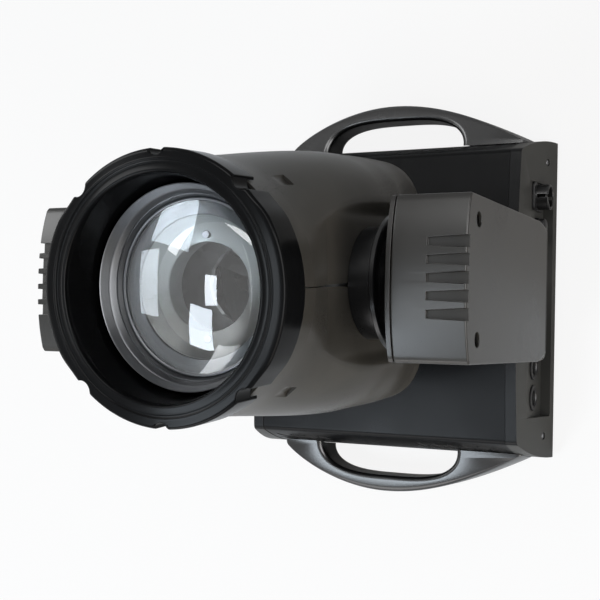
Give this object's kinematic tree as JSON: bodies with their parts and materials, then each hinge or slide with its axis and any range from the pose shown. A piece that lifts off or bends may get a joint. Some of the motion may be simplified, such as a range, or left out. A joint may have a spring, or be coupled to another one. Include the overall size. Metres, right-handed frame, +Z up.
{
  "type": "moving head beam light",
  "caption": "Motorised stage beam light: lens head tilting in a two-arm yoke that pans on a flared base with side handles, connector panel and display",
  "frame": {"origin": "middle of the footprint, on the floor under the rubber feet", "axes": "+Z up, -Y toward the connector panel, +X toward the right handle seen from the panel; the tilt axis lies along Y and the pan axis along Z"},
  "size_m": [0.405, 0.3726, 0.4789],
  "materials": {
    "base_black": "satin black moulding",
    "panel_grey": "fine dark grey paint",
    "handle_black": "satin black moulding",
    "cover_grey": "semi-gloss warm dark grey moulding",
    "bezel_black": "satin black moulding",
    "barrel_black": "black anodised",
    "floor_black": "black powder coat",
    "rubber": "black rubber",
    "connector_black": "black engineering plastic",
    "key_grey": "dark grey key caps",
    "screen": "dark glossy screen",
    "board_green": "green circuit board",
    "steel": "zinc plated or ground steel",
    "motor_black": "black painted motor",
    "aluminium": "bare aluminium",
    "lens_glass": "clear optical glass",
    "reflector_mirror": "mirror coated glass",
    "lamp_ceramic": "quartz bulb on a ceramic base"
  },
  "bodies": {
    "base": {"base_plate": "floor_black", "foot_front_left": "rubber", "foot_front_right": "rubber", "foot_rear_left": "rubber", "foot_rear_right": "rubber", "connector_end": "panel_grey", "display_end": "panel_grey", "base_cover": "base_black", "handle_right": "handle_black", "handle_left": "handle_black", "power_inlet": "connector_black", "fuse_holder": "connector_black", "data_input": "connector_black", "data_output": "connector_black", "display_screen": "screen", "control_board": "board_green", "base_chassis": "steel", "pan_bearing": "steel", "pan_motor": "motor_black", "pan_belt": "rubber", "power_supply": "steel"},
    "yoke": {"pan_spindle": "steel", "pan_pulley": "aluminium", "yoke_frame": "steel", "yoke_belly": "cover_grey", "arm_cover_front": "cover_grey", "arm_cover_rear": "cover_grey", "arm_liner_front": "cover_grey", "arm_liner_rear": "cover_grey", "tilt_bearing_front": "steel", "tilt_bearing_rear": "steel", "tilt_motor": "motor_black", "tilt_belt": "rubber"},
    "head": {"head_frame": "aluminium", "head_cover_right": "cover_grey", "head_cover_left": "cover_grey", "rear_cover": "cover_grey", "front_bezel": "bezel_black", "tilt_hub_front": "bezel_black", "tilt_hub_rear": "bezel_black", "tilt_pulley": "aluminium", "guide_rod_right": "steel", "guide_rod_left": "steel", "lamp": "lamp_ceramic", "reflector": "reflector_mirror", "fan_housing": "connector_black"},
    "pan_drive": {"pan_pinion": "aluminium"},
    "tilt_drive": {"tilt_pinion": "aluminium"},
    "focus_carriage": {"lens_barrel": "barrel_black", "front_lens": "lens_glass"},
    "prism_lever": {"prism_arm": "steel", "prism": "lens_glass"},
    "gobo_disc": {"gobo_wheel": "aluminium"},
    "colour_disc": {"colour_wheel": "aluminium"},
    "shutter": {"shutter_flag": "steel"},
    "fan_blades": {"fan_rotor": "connector_black"},
    "menu_key": {"menu_button": "key_grey"},
    "down_key": {"down_button": "key_grey"},
    "up_key": {"up_button": "key_grey"},
    "enter_key": {"enter_button": "key_grey"}
  },
  "joints": [
    {"name": "pan", "type": "hinge", "parent": "base", "child": "yoke", "pos_m": [0, 0, 0.0725], "axis": [0, 0, 1], "range_deg": [-270, 270]},
    {"name": "tilt", "type": "hinge", "parent": "yoke", "child": "head", "pos_m": [0, 0, 0.306], "axis": [0, 1, 0], "range_deg": [-120.4, 129.6]},
    {"name": "pan_drive_turn", "type": "hinge", "parent": "base", "child": "pan_drive", "pos_m": [0, 0.078, 0.0725], "axis": [0, 0, 1], "range_deg": [-1350, 1350]},
    {"name": "tilt_drive_turn", "type": "hinge", "parent": "yoke", "child": "tilt_drive", "pos_m": [0, -0.141, 0.205], "axis": [0, 1, 0], "range_deg": [-602, 648]},
    {"name": "focus", "type": "slide", "parent": "head", "child": "focus_carriage", "axis": [-0.0802, 0, 0.9968], "range_m": [-0.008, 0.012]},
    {"name": "prism_swing", "type": "hinge", "parent": "head", "child": "prism_lever", "pos_m": [0.02207, 0.06, 0.35593], "axis": [-0.0802, 0, 0.9968], "range_deg": [0, 40]},
    {"name": "gobo_turn", "type": "hinge", "parent": "head", "child": "gobo_disc", "pos_m": [0.00048, 0.0325, 0.30002], "axis": [-0.0802, 0, 0.9968], "continuous": true},
    {"name": "colour_turn", "type": "hinge", "parent": "head", "child": "colour_disc", "pos_m": [0.00144, -0.0325, 0.28806], "axis": [-0.0802, 0, 0.9968], "continuous": true},
    {"name": "shutter_swing", "type": "hinge", "parent": "head", "child": "shutter", "pos_m": [0.03044, 0, 0.27685], "axis": [-0.0802, 0, 0.9968], "range_deg": [0, 75]},
    {"name": "fan_turn", "type": "hinge", "parent": "head", "child": "fan_blades", "pos_m": [0.01039, 0, 0.17692], "axis": [-0.0802, 0, 0.9968], "continuous": true},
    {"name": "menu_press", "type": "slide", "parent": "base", "child": "menu_key", "axis": [0, -0.9829, -0.1843], "range_m": [0, 0.0015], "stiffness_N_per_m": 300},
    {"name": "down_press", "type": "slide", "parent": "base", "child": "down_key", "axis": [0, -0.9829, -0.1843], "range_m": [0, 0.0015], "stiffness_N_per_m": 300},
    {"name": "up_press", "type": "slide", "parent": "base", "child": "up_key", "axis": [0, -0.9829, -0.1843], "range_m": [0, 0.0015], "stiffness_N_per_m": 300},
    {"name": "enter_press", "type": "slide", "parent": "base", "child": "enter_key", "axis": [0, -0.9829, -0.1843], "range_m": [0, 0.0015], "stiffness_N_per_m": 300}
  ],
  "couplings": [
    {"joint": "pan_drive_turn", "follows": "pan", "ratio": 5},
    {"joint": "tilt_drive_turn", "follows": "tilt", "ratio": 5}
  ]
}
